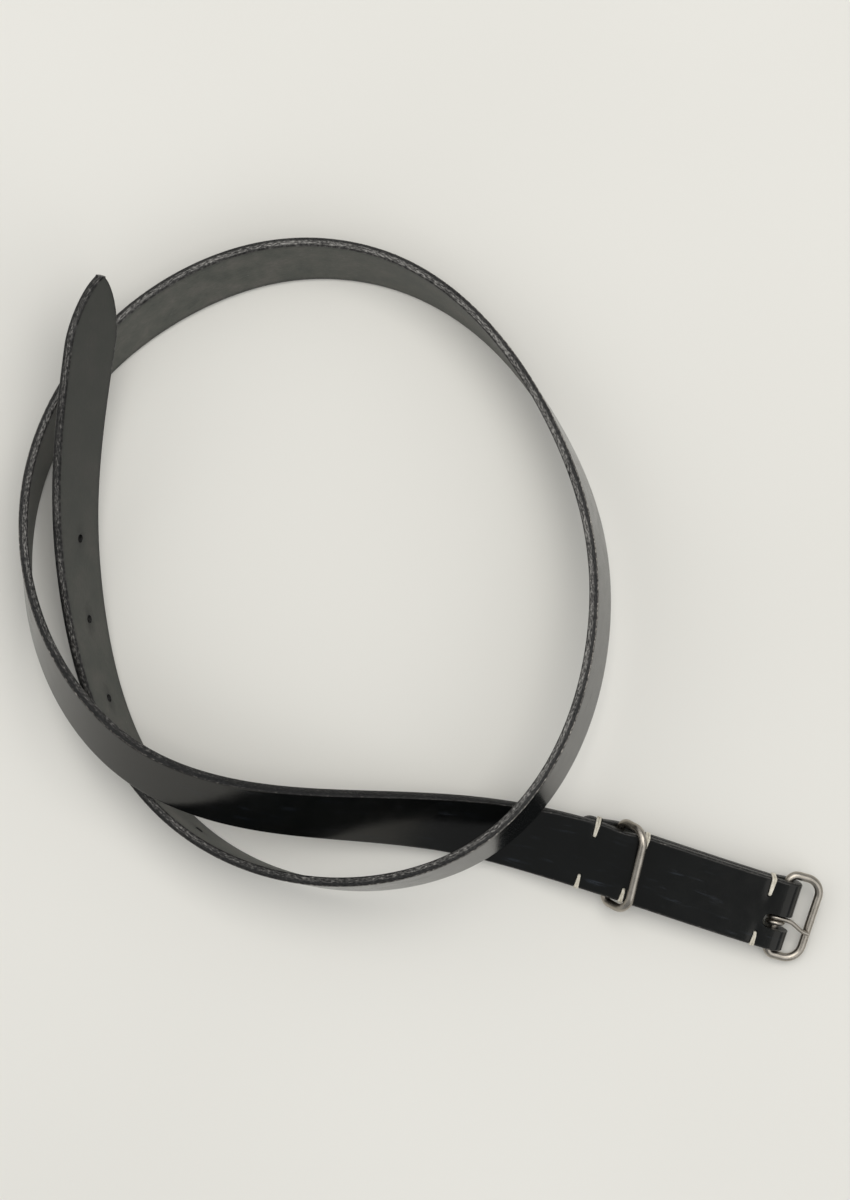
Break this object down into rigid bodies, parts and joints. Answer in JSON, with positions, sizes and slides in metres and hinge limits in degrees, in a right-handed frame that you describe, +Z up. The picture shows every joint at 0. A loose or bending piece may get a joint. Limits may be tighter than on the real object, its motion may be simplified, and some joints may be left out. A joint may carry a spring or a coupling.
{
  "type": "leather belt",
  "caption": "Narrow black leather belt with a wire buckle and wire keeper, lying on edge in a loose overhand knot.",
  "frame": {"origin": "on the surface the belt lies on, under the middle of its box", "axes": "+Z up, +X from the loop towards the buckle along the strap's straight end, +Y towards the far side of the loop"},
  "size_m": [0.3088, 0.2182, 0.0495],
  "materials": {
    "strap_leather": "smooth waxed grain side, matte olive-grey flesh side, burnished edges",
    "wire_nickel": "brushed nickel plate, satin",
    "waxed_thread": "waxed linen, off-white"
  },
  "bodies": {
    "strap": {"strap": "strap_leather", "stitch_buckle_upper": "waxed_thread", "stitch_buckle_lower": "waxed_thread", "stitch_keeper_upper": "waxed_thread", "stitch_keeper_lower": "waxed_thread", "stitch_end_upper": "waxed_thread", "stitch_end_lower": "waxed_thread"},
    "buckle": {"buckle_frame": "wire_nickel"},
    "prong": {"prong": "wire_nickel"},
    "keeper": {"keeper_ring": "wire_nickel"}
  },
  "joints": [
    {"name": "buckle_swing", "type": "hinge", "parent": "strap", "child": "buckle", "pos_m": [0.14114, -0.06815, 0.0073], "axis": [0.0057, -0.9867, -0.1624], "range_deg": [-120, 30]},
    {"name": "prong_swing", "type": "hinge", "parent": "buckle", "child": "prong", "pos_m": [0.14114, -0.06815, 0.0073], "axis": [0.0057, -0.9867, -0.1624], "range_deg": [0, 70]},
    {"name": "keeper_swing", "type": "hinge", "parent": "strap", "child": "keeper", "pos_m": [0.08066, -0.06813, 0.00794], "axis": [0.0867, -0.9715, -0.2205], "range_deg": [0, 80]}
  ]
}
